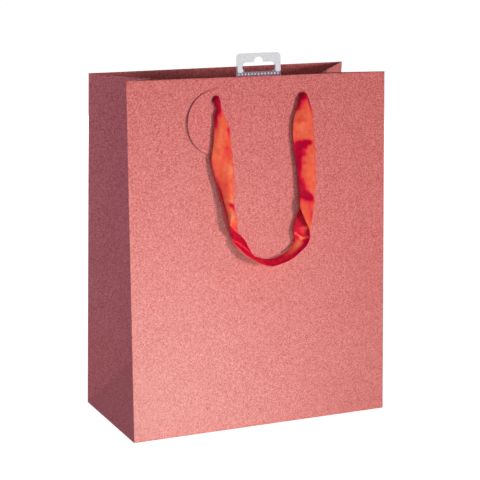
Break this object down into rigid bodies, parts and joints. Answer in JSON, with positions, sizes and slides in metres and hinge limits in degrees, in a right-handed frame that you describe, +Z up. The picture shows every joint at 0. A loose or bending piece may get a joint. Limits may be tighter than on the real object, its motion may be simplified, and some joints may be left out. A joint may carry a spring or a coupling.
{
  "type": "paper gift bag",
  "caption": "Tall glittered paper gift bag with folded-in side gussets, satin ribbon handles, a round tag and a clear hanging tab.",
  "frame": {"origin": "middle of the base, on the surface that the bag stands on", "axes": "+Z up, -Y out of the front panel, +X to the right as seen from the front"},
  "size_m": [0.26, 0.1484, 0.3472],
  "materials": {
    "glitter_paper": "matte",
    "tag_paper": "matte",
    "satin_ribbon": "satin",
    "greyboard": "matte",
    "clear_film": "gloss",
    "clear_adhesive": "satin"
  },
  "bodies": {
    "bag": {"front_panel": "glitter_paper", "back_panel": "glitter_paper", "right_gusset_front": "glitter_paper", "right_gusset_rear": "glitter_paper", "left_gusset_front": "glitter_paper", "left_gusset_rear": "glitter_paper", "right_gusset_triangle": "glitter_paper", "left_gusset_triangle": "glitter_paper", "side_seam_flap": "glitter_paper", "bottom_outer_flap": "glitter_paper", "bottom_inner_flap": "glitter_paper", "right_tuck_flap": "glitter_paper", "left_tuck_flap": "glitter_paper", "front_hem": "glitter_paper", "back_hem": "glitter_paper", "right_front_hem": "glitter_paper", "right_rear_hem": "glitter_paper", "left_front_hem": "glitter_paper", "left_rear_hem": "glitter_paper", "front_rim_board": "greyboard", "back_rim_board": "greyboard", "front_left_knot": "satin_ribbon", "front_right_knot": "satin_ribbon", "back_left_knot": "satin_ribbon", "back_right_knot": "satin_ribbon", "hang_tab_foot": "clear_film", "hang_tab_sticker": "clear_adhesive"},
    "front_handle": {"front_ribbon": "satin_ribbon"},
    "back_handle": {"back_ribbon": "satin_ribbon"},
    "tag": {"gift_tag": "tag_paper"},
    "tab": {"hang_tab": "clear_film"},
    "board": {"base_board": "greyboard"}
  },
  "joints": [
    {"name": "front_handle_swing", "type": "hinge", "parent": "bag", "child": "front_handle", "pos_m": [0, -0.04591, 0.30724], "axis": [-1, 0, 0], "range_deg": [0, 175]},
    {"name": "back_handle_swing", "type": "hinge", "parent": "bag", "child": "back_handle", "pos_m": [0, 0.04591, 0.30724], "axis": [1, 0, 0], "range_deg": [0, 175]},
    {"name": "tag_swing", "type": "hinge", "parent": "bag", "child": "tag", "pos_m": [-0.044, -0.04272, 0.30704], "axis": [0, -0.9979, 0.0643], "range_deg": [-45, 45]},
    {"name": "tab_fold", "type": "hinge", "parent": "bag", "child": "tab", "pos_m": [0, -0.0396, 0.32708], "axis": [1, 0, 0], "range_deg": [-85, 85], "stiffness_Nm_per_rad": 0.002},
    {"name": "board_lift", "type": "slide", "parent": "bag", "child": "board", "axis": [0, 0, 1], "range_m": [0, 0.008]}
  ]
}
